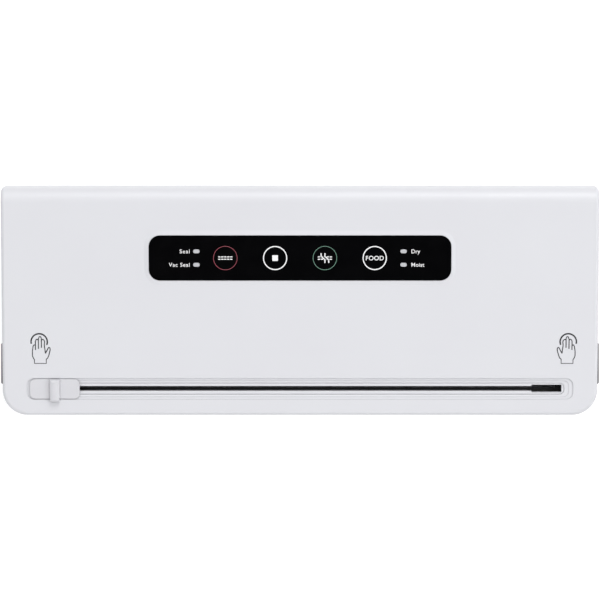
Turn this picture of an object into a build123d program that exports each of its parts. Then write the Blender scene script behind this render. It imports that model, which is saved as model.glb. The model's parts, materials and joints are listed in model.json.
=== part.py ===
from build123d import *
import os
from math import atan, cos, degrees, radians, sin, sqrt, tan

# Countertop vacuum sealer, in millimetres. X runs along the sealing bar, -Y is the front,
# +Z is up, and the origin is on the table under the middle of the case.

# Casing
case_width = 377.2
case_depth = 145.3
foot_height = 2.5
deck_height = 42.2
lid_gap = 2.8
lid_front_height = 12.6
lid_slope = 7.0
barrel_radius = 10.0
cradle_drop = 8.0
rear_block_depth = 32.0
front_corner_radius = 16.0
lid_edge_radius = 2.2
rear_corner_radius = 4.5
lid_wall = 2.4
base_wall = 2.6
deck_thickness = 2.5
bottom_thickness = 2.4
liner_thickness = 2.5

# Clearances
seam_gap = 0.6
fit_gap = 0.2
slide_gap = 0.3
pin_gap = 0.05

# Hinge
hinge_inset = 48.0
knuckle_width = 12.0
knuckle_radius = 6.2
neck_width = 7.0
neck_lean = 30.0
straight_down = -90.0
lug_width = 4.0
hinge_pin_radius = 2.0
lid_opening = 80.0

# Vacuum chamber, gaskets and sealing bar
gasket_side_margin = 23.0
gasket_front_setback = 41.0
gasket_rear_margin = 7.0
gasket_band = 7.0
gasket_corner = 14.0
gasket_groove = 2.3
trough_margin = 6.0
trough_depth = 9.0
lid_recess_depth = 7.0
heater_gap = 2.0
heater_bar_width = 10.0
heater_bar_height = 4.0
heater_end_margin = 33.0
element_width = 4.0
element_thickness = 0.25
tape_width = 8.0
tape_thickness = 0.2
press_bar_width = 7.6
press_bar_groove = 3.0
press_bar_drop = 1.0

# Cutter and its rail
rail_setback = 16.6
rail_width = 13.6
rail_end_margin = 15.5
rail_corner = 4.5
rail_pocket_depth = 0.7
rail_step_width = 10.6
rail_step_margin = 2.6
rail_step_depth = 1.1
rail_window_width = 7.4
rail_window_margin = 5.6
rail_floor_depth = 1.5
rail_skin = 2.0
rail_flange_width = 13.0
rail_flange_lap = 4.0
rail_pad_lap = 7.0
rail_pad_width = 17.0
rail_pad_corner = 3.0
cutter_slot_width = 3.2
cutter_slot_margin = 1.7
loading_slot_width = 4.9
loading_slot_length = 19.0
cutter_length = 31.5
cutter_width = 12.6
cutter_corner = 3.4
cutter_height = 1.2
cutter_dip = 0.4
cutter_park_gap = 2.0
cutter_ridge_width = 6.0
cutter_ridge_height = 2.8
cutter_ridge_lean = 0.6
cutter_ridge_overhang = 2.1
cutter_ridge_round = 2.6
cutter_nose_corner = 0.8
cutter_crest = 0.8
cutter_neck_length = 12.0
cutter_shoe_length = 17.6
cutter_shoe_width = 4.5
cutter_shoe_height = 2.6
blade_length = 10.0
blade_thickness = 0.6
blade_depth = 3.2
blade_groove_width = 5.0
blade_slit = 1.5
slit_seal_width = 9.0
slit_seal_thickness = 0.8
blade_groove_depth = 6.0

# Control panel
panel_setback = 45.9
panel_length = 190.6
panel_height = 28.4
panel_corner = 7.0
panel_thickness = 1.5
panel_pad_lap = 3.0
bezel_rise = 0.6
bezel_width = 3.0
bezel_lip = 0.5
key_pitch = 31.4
key_radius = 7.9
key_flange_radius = 9.0
key_flange_thickness = 0.7
key_travel = 0.6
key_stem_radius = 2.4
lamp_offset_x = 65.3
lamp_pitch_y = 8.5
lamp_length = 4.05
lamp_width = 2.4
control_board_drop = 9.0
control_board_length = 176.0
control_board_width = 26.0
board_thickness = 1.6
switch_height = 2.0
switch_size = 6.0
lamp_die_length = 2.8
lamp_die_width = 1.6
lamp_die_height = 1.0
board_spacer_radius = 3.0
board_spacer_inset = 5.5

# Latches
button_setback = 32.3
button_length = 26.5
button_height = 15.0
button_top_gap = 1.2
button_proud = 2.95
button_travel = 2.5
button_flange = 1.5
catch_inset = 14.0
catch_thickness = 3.0
catch_arm_width = 4.0
hook_width = 12.0
hook_thickness = 3.0
barb_reach = 1.4
barb_height = 0.9
latch_spring_radius = 3.0
latch_wire_radius = 0.4
latch_spring_length = 9.0
latch_spring_turns = 6

# Drive and electrics
pump_inset = 76.0
pump_rear_gap = 0.7
pump_z = 22.5
crankcase_length = 34.0
crankcase_depth = 25.0
crankcase_height = 28.0
crank_bore_radius = 10.5
crank_web_radius = 7.4
crank_throw = 1.5
crank_shaft_radius = 2.5
crank_tail = 5.5
crank_tail_gap = 0.5
crank_web_width = 10.0
crankcase_wall = 3.0
crankcase_leg = 8.0
motor_radius = 12.4
motor_length = 40.0
motor_edge_radius = 2.0
pump_head_height = 7.0
diaphragm_thickness = 1.2
diaphragm_radius = 10.0
diaphragm_rest = 2.5
diaphragm_post_radius = 5.0
pump_chamber_depth = 2.0
pump_chamber_rim = 2.0
barb_radius = 2.6
barb_length = 9.0
barb_wall = 1.0
barb_root = 0.5
hose_radius = 3.6
hose_bore_radius = 2.7
hose_bend = 8.0
hose_low_z = 12.0
port_x = -40.0
port_inset = 7.0
main_board_gap = 10.0
main_board_length = 64.0
main_board_width = 38.0
main_board_rise = 6.0
board_post_inset = 5.0
board_post_radius = 3.0
relay_size = 15.0
relay_length = 19.0
capacitor_radius = 5.0
capacitor_height = 16.0
capacitor_pitch = 11.0
connector_length = 14.0
connector_width = 5.0
connector_height = 7.0
transformer_inset = 76.0
transformer_rear_gap = 0.5
core_length = 48.0
core_depth = 22.0
core_height = 40.0
coil_proud = 3.4
inlet_inset = 30.0
inlet_z = 24.0
inlet_body_width = 26.0
inlet_body_height = 18.0
inlet_body_depth = 20.0
inlet_socket_width = 16.4
inlet_socket_height = 9.0
inlet_socket_depth = 14.0
inlet_pin_radius = 1.2
inlet_pin_pitch = 8.6
inlet_pin_length = 10.0

# Fasteners and feet
screw_radius = 1.5
screw_head_radius = 2.9
screw_head_height = 1.6
screw_grip = 9.0
boss_radius = 4.0
boss_gap = 1.0
boss_inset_x = 10.0
boss_inset_y = 9.0
middle_boss_inset = 8.0
lid_boss_radius = 3.5
lid_boss_setback = 62.0
lid_boss_rear_gap = 10.0
lid_boss_front_gap = 6.0
lid_boss_spread = 90.0
foot_radius = 7.0
foot_peg_radius = 2.5
foot_inset_x = 22.0
foot_inset_y = 18.0
vent_count = 9
vent_length = 24.0
vent_width = 2.2
vent_pitch = 6.0

# Derived places
slope = radians(lid_slope)
half_width = case_width / 2
front_y = -case_depth / 2
rear_y = case_depth / 2
lid_bottom = deck_height + lid_gap
lid_front_top = lid_bottom + lid_front_height
axis_y = rear_y - barrel_radius
axis_z = lid_front_top + (axis_y - front_y) * tan(slope) - barrel_radius / cos(slope)
cradle_radius = barrel_radius + seam_gap
block_y = rear_y - rear_block_depth
block_top = axis_z - cradle_drop
lid_under = block_top + seam_gap
step_y = block_y - seam_gap
deck_under = deck_height - deck_thickness
bottom_low = foot_height
bottom_top = bottom_low + bottom_thickness
liner_top = lid_bottom + liner_thickness

gasket_length = case_width - 2 * gasket_side_margin
gasket_depth = case_depth - rear_block_depth - gasket_rear_margin - gasket_front_setback
gasket_centre_y = front_y + gasket_front_setback + gasket_depth / 2
gasket_rise = (lid_gap - slide_gap) / 2
trough_length = gasket_length - 2 * (gasket_band + trough_margin)
trough_width = gasket_depth - 2 * (gasket_band + trough_margin)
trough_floor = deck_height - trough_depth
trough_under = trough_floor - deck_thickness
trough_corner = gasket_corner - gasket_band
heater_y = gasket_centre_y - gasket_depth / 2 - heater_gap - heater_bar_width / 2
heater_length = case_width - 2 * heater_end_margin

rail_y = front_y + rail_setback
rail_length = case_width - 2 * rail_end_margin
window_length = rail_length - 2 * rail_window_margin
window_corner = 3.0
slot_length = window_length - 2 * cutter_slot_margin
rail_flange_top = -(rail_floor_depth + rail_skin)
rail_flange_low = rail_flange_top - rail_skin
cutter_x = -rail_length / 2 + cutter_park_gap + cutter_length / 2
cutter_travel = rail_length - 2 * cutter_park_gap - cutter_length
cutter_low = -rail_pocket_depth + fit_gap
shoe_top = rail_flange_low - slide_gap
shoe_low = shoe_top - cutter_shoe_height
blade_drop = (lid_front_top + (rail_y - front_y) * tan(slope) - deck_height + blade_depth) * cos(slope)
blade_y = rail_y + (blade_drop - blade_depth) * sin(slope)
blade_end_gap = 2.0
blade_sweep = cutter_travel + blade_length + 2 * blade_end_gap

panel_y = rear_y - panel_setback
panel_top = bezel_rise - fit_gap / 2
panel_low = panel_top - panel_thickness
key_names = ("seal_key", "stop_key", "vacuum_key", "food_key")
key_places = [(i - (len(key_names) - 1) / 2) * key_pitch for i in range(len(key_names))]
key_flange_top = panel_low - fit_gap / 2
key_flange_low = key_flange_top - key_flange_thickness
key_pocket_floor = key_flange_low - key_travel - fit_gap
panel_boss_low = key_pocket_floor - 1.4
control_board_top = -control_board_drop
switch_top = control_board_top + switch_height
key_stem_low = switch_top + key_travel + fit_gap
lamp_places = [(side * lamp_offset_x, row * lamp_pitch_y / 2) for side in (-1, 1) for row in (-1, 1)]

button_y = front_y + button_setback
button_centre_z = deck_under - button_top_gap - button_flange - button_height / 2
catch_nose_x = half_width - catch_inset
hook_inner_x = catch_nose_x + 0.8
nose_top = button_centre_z + barb_height / 2
barb_low = nose_top + slide_gap
catch_arm_y = hook_width / 2 + catch_arm_width / 2 + 1.0
catch_bar_depth = 3.5
spring_seat_x = catch_nose_x - catch_bar_depth - latch_spring_length

pump_x = -half_width + pump_inset
pump_y = rear_y - base_wall - pump_rear_gap - crankcase_depth / 2
pump_head_low = pump_z + crankcase_height / 2
pump_head_top = pump_head_low + pump_head_height
head_barb_z = pump_head_low + pump_head_height / 2
port_y = gasket_centre_y + trough_width / 2 - port_inset
port_flange_low = trough_under - 1.2
inlet_x = half_width - inlet_inset
inlet_low_z = inlet_z - inlet_body_height / 2
transformer_x = half_width - transformer_inset
transformer_y = rear_y - base_wall - transformer_rear_gap - coil_proud - core_depth / 2
main_board_x = transformer_x - core_length / 2 - main_board_gap - main_board_length / 2
main_board_y = rear_y - middle_boss_inset - boss_radius - boss_gap - main_board_width / 2

both_sides = (-1, 1)
base_boss_places = [(sx * (half_width - boss_inset_x), sy * (case_depth / 2 - boss_inset_y))
                    for sx in both_sides for sy in both_sides]
base_boss_places += [(0.0, sy * (case_depth / 2 - middle_boss_inset)) for sy in both_sides]
lid_boss_places = [(sx * (half_width - boss_inset_x), y)
                   for sx in both_sides for y in (front_y + lid_boss_setback, step_y - lid_boss_rear_gap)]
lid_boss_places += [(sx * lid_boss_spread, front_y + lid_boss_front_gap) for sx in both_sides]
foot_places = [(sx * (half_width - foot_inset_x), sy * (case_depth / 2 - foot_inset_y))
               for sx in both_sides for sy in both_sides]

ground = Plane.XY
lid_top = Plane(origin=(0, 0, lid_front_top - front_y * tan(slope)), x_dir=(1, 0, 0),
                z_dir=(0, -sin(slope), cos(slope)))


# Distance along the sloping lid top from the lid's middle line to a plan distance y.
def along(y):
    return y / cos(slope)


# A rectangle, rounded if it has a radius, raised from low to high above a plane.
def slab(plane, length, width, low, high, at=(0, 0), radius=0.0):
    outline = RectangleRounded(length, width, radius) if radius else Rectangle(length, width)
    return extrude(plane * Pos(at[0], at[1], low) * outline, amount=high - low)


# A round disc raised from low to high above a plane.
def disc(plane, radius, low, high, at=(0, 0)):
    return extrude(plane * Pos(at[0], at[1], low) * Circle(radius), amount=high - low)


# A long hole with round ends raised from low to high above a plane.
def pill(plane, length, width, low, high, at=(0, 0)):
    return extrude(plane * Pos(at[0], at[1], low) * SlotOverall(length, width), amount=high - low)


# A rounded rectangular ring.
def ring(plane, length, width, band, low, high, at, radius):
    outer = slab(plane, length, width, low, high, at, radius)
    return outer - slab(plane, length - 2 * band, width - 2 * band, low, high, at, radius - band)


# A box between two opposite corners.
def block(low, high):
    size = [b - a for a, b in zip(low, high)]
    return Pos(*low) * Box(*size, align=(Align.MIN, Align.MIN, Align.MIN))


# A rod along X between two ends.
def rod(radius, start, end, y, z):
    return extrude(Plane.YZ.offset(start) * Pos(y, z) * Circle(radius), amount=end - start)


# A side profile in Y and Z, drawn out along X to both sides of the middle.
def profile(edges, half_length):
    return extrude(Plane.YZ * make_face(edges), amount=half_length, both=True)


# The upright edges of a solid at its front or rear end.
def upright_edges(solid, at_front):
    ends = solid.edges().filter_by(Axis.Z).group_by(Axis.Y)
    return ends[0] if at_front else ends[-1]


# The lid's side profile, taken in by an inset on all sides but the open underside.
def lid_profile(inset, floor_z, half_length):
    radius = barrel_radius - inset
    drop = axis_z - lid_under - inset
    front = front_y + inset
    front_top = (front, lid_front_top + inset * tan(slope) - inset / cos(slope))
    tangent = (axis_y - radius * sin(slope), axis_z + radius * cos(slope))
    arc_end = (axis_y - sqrt(radius**2 - drop**2), axis_z - drop)
    step = step_y - inset
    corners = [arc_end, (step, axis_z - drop), (step, floor_z), (front, floor_z), front_top, tangent]
    edges = [Line(a, b) for a, b in zip(corners, corners[1:])]
    edges.append(ThreePointArc(tangent, (axis_y + radius, axis_z), arc_end))
    return profile(edges, half_length)


# The space that a base knuckle sweeps inside the lid's barrel.
def knuckle_sweep(x):
    centre = Pos(axis_y, axis_z)
    reach = barrel_radius + 4.0
    wide = neck_width + 2 * seam_gap
    start = straight_down - neck_lean
    end = start + lid_opening + 2.0
    faces = Sketch() + centre * Circle(knuckle_radius + seam_gap)
    for turn in (start, end):
        faces += centre * Rot(0, 0, turn) * Pos(reach / 2, 0) * Rectangle(reach, wide)
    middle = (start + end) / 2
    fan = [(0, 0)] + [(1.3 * reach * cos(radians(a)), 1.3 * reach * sin(radians(a))) for a in (start, middle, end)]
    faces += centre * Polygon(*fan, align=None)
    width = knuckle_width + 2 * seam_gap
    return extrude(Plane.YZ.offset(x - width / 2) * faces, amount=width)


# Lid cover
def lid_cover():
    solid = lid_profile(0.0, lid_bottom, half_width)
    solid = fillet(upright_edges(solid, True), front_corner_radius)
    top_face = solid.faces().filter_by(lambda f: f.normal_at().Z > 0.9).sort_by(SortBy.AREA)[-1]
    barrel = [e for e in solid.edges().filter_by(GeomType.CIRCLE)
              if abs(e.radius - barrel_radius) < 0.01 and abs(e.arc_center.Z - axis_z) < 0.01]
    tops = [e for e in top_face.edges() if abs(e.tangent_at(0.5).X) < 0.99 or e.center().Y < 0]
    solid = fillet(tops + barrel, lid_edge_radius)
    solid &= slab(ground, case_width, case_depth, 0, 2 * deck_height, (0, 0), rear_corner_radius)
    cavity = lid_profile(lid_wall, lid_bottom - 1.0, half_width - lid_wall)
    cavity = fillet(upright_edges(cavity, True), front_corner_radius - lid_wall)
    shell = solid - cavity
    rail_at = (0, along(rail_y))
    panel_at = (0, along(panel_y))
    inside = lid_profile(lid_wall / 2, lid_bottom, half_width - lid_wall / 2)
    shell += slab(lid_top, window_length + 2 * rail_pad_lap, rail_pad_width, rail_flange_top, -lid_wall / 2, rail_at,
                  rail_pad_corner) & inside
    shell += slab(lid_top, panel_length + 2 * panel_pad_lap, panel_height + 2 * panel_pad_lap, panel_boss_low,
                  -lid_wall / 2, panel_at, panel_corner)
    posts = Part()
    for x, y in lid_boss_places:
        posts += disc(ground, lid_boss_radius, liner_top, lid_front_top + case_depth * tan(slope), (x, y))
    shell += posts & inside
    for x, y in lid_boss_places:
        shell -= disc(ground, screw_radius + pin_gap, liner_top - 1, liner_top + screw_grip + 1, (x, y))
    # Raised pad round the control panel, with sloping sides
    pad = RectangleRounded(panel_length + 2 * bezel_width, panel_height + 2 * bezel_width, panel_corner + bezel_width)
    lean = degrees(atan((bezel_width - bezel_lip) / bezel_rise))
    shell += extrude(lid_top * Pos(*panel_at, 0) * pad, amount=bezel_rise, taper=lean)
    shell -= slab(lid_top, panel_length + 2 * fit_gap, panel_height + 2 * fit_gap, panel_low, bezel_rise + 1,
                  panel_at, panel_corner + fit_gap)
    for x in key_places:
        centre = (x, panel_at[1])
        shell -= disc(lid_top, key_flange_radius + slide_gap, key_pocket_floor, bezel_rise, centre)
        shell -= disc(lid_top, key_stem_radius + slide_gap, -lid_wall * 3, 0, centre)
    for x, v in lamp_places:
        shell -= pill(lid_top, lamp_length + fit_gap, lamp_width + fit_gap, -lid_wall * 3, bezel_rise,
                      (x, panel_at[1] + v))
    # Stepped pocket and window for the cutter's rail
    shell -= slab(lid_top, rail_length, rail_width, -rail_pocket_depth, 3, rail_at, rail_corner)
    shell -= slab(lid_top, rail_length - 2 * rail_step_margin, rail_step_width, -rail_step_depth, 0, rail_at,
                  rail_corner - rail_pocket_depth)
    shell -= slab(lid_top, window_length, rail_window_width, -lid_wall * 3, 0, rail_at, window_corner)
    # Hinge slots and the lugs that carry the pins
    for side in (-1, 1):
        x = side * (half_width - hinge_inset)
        reach = knuckle_width / 2 + seam_gap
        for end in (-1, 1):
            inner = x + end * reach
            outer = inner + end * lug_width
            lug = rod(barrel_radius - lid_wall + 0.3, min(inner, outer), max(inner, outer), axis_y, axis_z)
            shell += lug - rod(hinge_pin_radius + pin_gap, x - 3 * reach, x + 3 * reach, axis_y, axis_z)
        shell -= knuckle_sweep(x)
    return shell


# Plate that closes the lid's underside, with the upper half of the vacuum chamber
def lid_liner():
    depth = step_y - front_y - 2 * lid_wall - 2 * fit_gap
    middle = (step_y + front_y) / 2
    plate = slab(ground, case_width - 2 * (lid_wall + fit_gap), depth, lid_bottom, liner_top, (0, middle))
    plate = fillet(upright_edges(plate, True), front_corner_radius - lid_wall - fit_gap)
    centre = (0, gasket_centre_y)
    rib = 2.0
    plate += ring(ground, gasket_length + 2 * rib, gasket_depth + 2 * rib, gasket_band + 2 * rib, lid_bottom,
                  lid_bottom + gasket_groove + rib, centre, gasket_corner + rib)
    plate += slab(ground, trough_length + 2 * rib, trough_width + 2 * rib, lid_bottom,
                  lid_bottom + lid_recess_depth + rib, centre, trough_corner + rib)
    plate += slab(ground, heater_length + 2 * rib, press_bar_width + 2 * rib, lid_bottom,
                  lid_bottom + press_bar_groove + rib, (0, heater_y))
    plate -= ring(ground, gasket_length + 2 * fit_gap, gasket_depth + 2 * fit_gap, gasket_band + 2 * fit_gap,
                  lid_bottom - 1, lid_bottom + gasket_groove, centre, gasket_corner + fit_gap)
    plate -= slab(ground, trough_length, trough_width, lid_bottom - 1, lid_bottom + lid_recess_depth, centre,
                  trough_corner)
    plate -= slab(ground, heater_length + 2 * fit_gap, press_bar_width + 2 * fit_gap, lid_bottom - 1,
                  lid_bottom + press_bar_groove, (0, heater_y))
    plate -= slab(ground, blade_sweep, blade_groove_width, lid_bottom - 1, liner_top + 1, (0, blade_y))
    for x, y in lid_boss_places:
        plate -= disc(ground, screw_radius + fit_gap, lid_bottom - 1, liner_top + 1, (x, y))
        plate -= disc(ground, screw_head_radius + fit_gap, lid_bottom - 1, lid_bottom + screw_head_height, (x, y))
    for side in (-1, 1):
        plate -= hook_tongue(side, fit_gap)
    return plate


# The straight part of a lid hook, which also cuts its slot in the liner.
def hook_tongue(side, grow):
    x = hook_inner_x + hook_thickness / 2
    return slab(ground, hook_thickness + 2 * grow, hook_width + 2 * grow, barb_low, liner_top + 1,
                (side * x, button_y))


# The two hooks that drop from the lid into the latches
def lid_hooks():
    hooks = []
    for side in (-1, 1):
        tip = hook_inner_x - barb_reach
        nose = Polygon((hook_inner_x, barb_low), (tip, barb_low + barb_height * 0.6), (tip, barb_low + barb_height),
                       (hook_inner_x, barb_low + barb_height), align=None)
        barb = extrude(Plane.XZ.offset(-button_y) * nose, amount=hook_width / 2, both=True)
        hook = hook_tongue(1, 0.0) + barb
        hook += slab(ground, hook_thickness + 7, hook_width + 6, liner_top, liner_top + 2,
                     (hook_inner_x + hook_thickness / 2 - 2, button_y))
        hooks.append(hook if side > 0 else mirror(hook, about=Plane.YZ))
    return hooks


# Rubber foam rings that meet round the vacuum chamber
def gasket(low, high):
    return ring(ground, gasket_length, gasket_depth, gasket_band, low, high, (0, gasket_centre_y), gasket_corner)


# Rubber lips over the liner's slit that the blade runs between
def slit_seal():
    high = liner_top + slit_seal_thickness
    y = rail_y + (lid_front_top + (rail_y - front_y) * tan(slope) - high) * tan(slope)
    lips = slab(ground, blade_sweep + slit_seal_width, slit_seal_width, liner_top, high, (0, y))
    return lips - slab(ground, blade_sweep, blade_slit, liner_top - 1, high + 1, (0, y))


# Silicone bar in the lid that presses the bag onto the heater
def press_bar():
    bar = slab(ground, heater_length, press_bar_width, lid_bottom - press_bar_drop, lid_bottom + press_bar_groove,
               (0, heater_y))
    low = bar.faces().sort_by(Axis.Z)[0]
    return fillet(low.edges().filter_by(Axis.X), 0.8)


# Insert with the slot that the cutter runs in
def cutter_rail():
    at = (0, along(rail_y))
    rail = slab(lid_top, window_length - 2 * fit_gap, rail_window_width - 2 * fit_gap, rail_flange_top,
                -rail_floor_depth, at, window_corner - fit_gap)
    rail += slab(lid_top, window_length + 2 * rail_flange_lap, rail_flange_width, rail_flange_low, rail_flange_top, at,
                 window_corner)
    rail -= slab(lid_top, slot_length, cutter_slot_width, rail_flange_low - 1, 0, at)
    end = slot_length / 2 - loading_slot_length / 2
    rail -= slab(lid_top, loading_slot_length, loading_slot_width, rail_flange_low - 1, 0, (end, at[1]))
    return rail


# Thumb piece of the cutter: two finger dips that fall towards a tall ridge across the middle
def cutter_slider():
    at = (cutter_x, along(rail_y))
    rim = cutter_low + cutter_height
    dip = rim - cutter_dip
    peak = rim + cutter_ridge_height
    brow = peak - cutter_crest
    end = cutter_length / 2
    shoulder = cutter_ridge_width / 2
    root = shoulder + cutter_ridge_lean
    sag = ((end + root) / 2, dip + cutter_dip / 4)
    side = Plane(origin=lid_top.from_local_coords((*at, 0)), x_dir=(1, 0, 0), z_dir=-lid_top.y_dir)
    edges = [Line((-end, rim), (-end, cutter_low)), Line((-end, cutter_low), (end, cutter_low)),
             Line((end, cutter_low), (end, rim)), ThreePointArc((end, rim), sag, (root, dip)),
             Line((root, dip), (shoulder, brow)), ThreePointArc((shoulder, brow), (0, peak), (-shoulder, brow)),
             Line((-shoulder, brow), (-root, dip)), ThreePointArc((-root, dip), (-sag[0], sag[1]), (-end, rim))]
    saddle = extrude(side * make_face(edges), amount=cutter_width, both=True)
    plan = slab(lid_top, cutter_length, cutter_width, cutter_low - 1, peak + 1, at, cutter_corner)
    ridge_length = cutter_width + cutter_ridge_overhang
    ridge_at = (at[0], at[1] - cutter_ridge_overhang / 2)
    nose = slab(lid_top, cutter_ridge_width, ridge_length, seam_gap, peak + 1, ridge_at, cutter_nose_corner)
    # The ridge falls away in a round at its front and rear
    across = Plane(origin=lid_top.from_local_coords((*ridge_at, 0)), x_dir=lid_top.y_dir, z_dir=(1, 0, 0))
    rounded = slab(across, ridge_length, 2 * (peak - cutter_low), -end, end, (0, cutter_low), cutter_ridge_round)
    return saddle & (plan + nose) & rounded


# Neck and shoe that hold the cutter in its slot
def cutter_shoe():
    at = (cutter_x, along(rail_y))
    shoe = slab(lid_top, cutter_neck_length, cutter_slot_width - 2 * slide_gap, shoe_low, cutter_low, at)
    shoe += slab(lid_top, cutter_shoe_length, cutter_shoe_width, shoe_low, shoe_top, at)
    return shoe - slab(lid_top, blade_length + 2 * pin_gap, blade_thickness + 2 * pin_gap, shoe_low - 1,
                       shoe_top, at)


# Steel blade with two slanting cutting edges
def cutter_blade():
    half = blade_length / 2
    high, low = shoe_top - pin_gap, -blade_drop
    outline = Polygon((-half, high), (-half, low + 5), (0, low), (half, low + 5), (half, high), align=None)
    frame = Plane(origin=lid_top.from_local_coords((cutter_x, along(rail_y), 0)), x_dir=(1, 0, 0),
                  z_dir=-lid_top.y_dir)
    return extrude(frame * outline, amount=blade_thickness / 2, both=True)


# Black fascia of the control panel
def control_panel():
    at = (0, along(panel_y))
    fascia = slab(lid_top, panel_length, panel_height, panel_low, panel_top, at, panel_corner)
    for x in key_places:
        fascia -= disc(lid_top, key_radius + slide_gap, panel_low - 1, panel_top + 1, (x, at[1]))
    for x, v in lamp_places:
        fascia -= pill(lid_top, lamp_length + fit_gap, lamp_width + fit_gap, panel_low - 1, panel_top + 1,
                       (x, at[1] + v))
    return fascia


# Round push key with a flange that keeps it under the fascia
def push_key(x):
    at = (x, along(panel_y))
    key = disc(lid_top, key_radius, key_flange_low, panel_top, at)
    key += disc(lid_top, key_flange_radius, key_flange_low, key_flange_top, at)
    return key + disc(lid_top, key_stem_radius, key_stem_low, key_flange_low, at)


# Light guides from the indicator lamps to the fascia
def indicator_lenses():
    return [pill(lid_top, lamp_length, lamp_width, control_board_top + lamp_die_height + fit_gap,
                 panel_top, (x, along(panel_y) + v))
            for x, v in lamp_places]


# Control board under the fascia, hung from the cover on four spacers
def control_board():
    at = (0, along(panel_y))
    return slab(lid_top, control_board_length, control_board_width, control_board_top - board_thickness,
                control_board_top, at)


def control_board_spacers():
    reach_x = control_board_length / 2 - board_spacer_inset
    reach_y = control_board_width / 2 - board_spacer_inset
    return [disc(lid_top, board_spacer_radius, control_board_top, panel_boss_low,
                 (sx * reach_x, along(panel_y) + sy * reach_y)) for sx in both_sides for sy in both_sides]


# Switches under the keys, and the lamps under the light guides
def key_switches():
    return [slab(lid_top, switch_size, switch_size, control_board_top, switch_top, (x, along(panel_y)))
            for x in key_places]


def indicator_lamps():
    return [slab(lid_top, lamp_die_length, lamp_die_width, control_board_top, control_board_top + lamp_die_height,
                 (x, along(panel_y) + v)) for x, v in lamp_places]


# A screw from below, with its head sunk in the plate it holds
def screw(x, y, head_low, tip):
    return disc(ground, screw_head_radius, head_low, head_low + screw_head_height, (x, y)) + disc(
        ground, screw_radius, head_low + screw_head_height, tip, (x, y))


def lid_screws():
    return [screw(x, y, lid_bottom, liner_top + screw_grip) for x, y in lid_boss_places]


# Base housing: walls, deck, lower chamber and the rear block that carries the hinge
def base_housing():
    lip = sqrt(cradle_radius**2 - cradle_drop**2)
    corners = [(axis_y + lip, block_top), (rear_y, block_top), (rear_y, bottom_low), (front_y, bottom_low),
               (front_y, deck_height), (block_y, deck_height), (block_y, block_top), (axis_y - lip, block_top)]
    edges = [Line(a, b) for a, b in zip(corners, corners[1:])]
    edges.append(ThreePointArc(corners[-1], (axis_y, axis_z - cradle_radius), corners[0]))
    solid = profile(edges, half_width)
    solid = fillet(upright_edges(solid, True), front_corner_radius)
    solid = fillet(upright_edges(solid, False), rear_corner_radius)
    roof = axis_z - cradle_radius - deck_thickness
    inner = [(front_y + base_wall, 0), (front_y + base_wall, deck_under), (block_y + base_wall, deck_under),
             (block_y + base_wall, roof), (rear_y - base_wall, roof), (rear_y - base_wall, 0)]
    cavity = profile([Line(a, b) for a, b in zip(inner, inner[1:] + inner[:1])], half_width - base_wall)
    cavity = fillet(upright_edges(cavity, True), front_corner_radius - base_wall)
    solid -= cavity
    centre = (0, gasket_centre_y)
    rib = 2.0
    solid += slab(ground, trough_length + 2 * deck_thickness, trough_width + 2 * deck_thickness, trough_under,
                  deck_under, centre, trough_corner + deck_thickness)
    solid += ring(ground, gasket_length + 2 * rib, gasket_depth + 2 * rib, gasket_band + 2 * rib,
                  deck_height - gasket_groove - rib, deck_under, centre, gasket_corner + rib)
    solid += slab(ground, heater_length + 2 * rib, heater_bar_width + 2 * rib, deck_height - heater_bar_height - rib,
                  deck_under, (0, heater_y))
    solid += slab(ground, blade_sweep + 2 * rib, blade_groove_width + 2 * rib, deck_height - blade_groove_depth - rib,
                  deck_under, (0, blade_y))
    solid -= slab(ground, trough_length, trough_width, trough_floor, deck_height + 1, centre, trough_corner)
    solid -= ring(ground, gasket_length + 2 * fit_gap, gasket_depth + 2 * fit_gap, gasket_band + 2 * fit_gap,
                  deck_height - gasket_groove, deck_height + 1, centre, gasket_corner + fit_gap)
    solid -= slab(ground, heater_length + 2 * fit_gap, heater_bar_width + 2 * fit_gap,
                  deck_height - heater_bar_height, deck_height + 1, (0, heater_y))
    solid -= slab(ground, blade_sweep, blade_groove_width, deck_height - blade_groove_depth, deck_height + 1,
                  (0, blade_y))
    for x, y in base_boss_places:
        roof_here = roof if y > block_y else deck_under
        solid += disc(ground, boss_radius, bottom_top, roof_here + 0.5, (x, y))
        solid -= disc(ground, screw_radius + pin_gap, bottom_top - 1, bottom_top + screw_grip + 1, (x, y))
    for side in (-1, 1):
        solid = cut_latch(solid, side)
        solid += base_knuckle(side)
    solid -= disc(ground, barb_radius + fit_gap, trough_under - 1, trough_floor + 1, (port_x, port_y))
    solid -= block((inlet_x - inlet_body_width / 2 - fit_gap, rear_y - base_wall - 1, inlet_low_z - fit_gap),
                   (inlet_x + inlet_body_width / 2 + fit_gap, rear_y + 1, inlet_low_z + inlet_body_height + fit_gap))
    return solid


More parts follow.
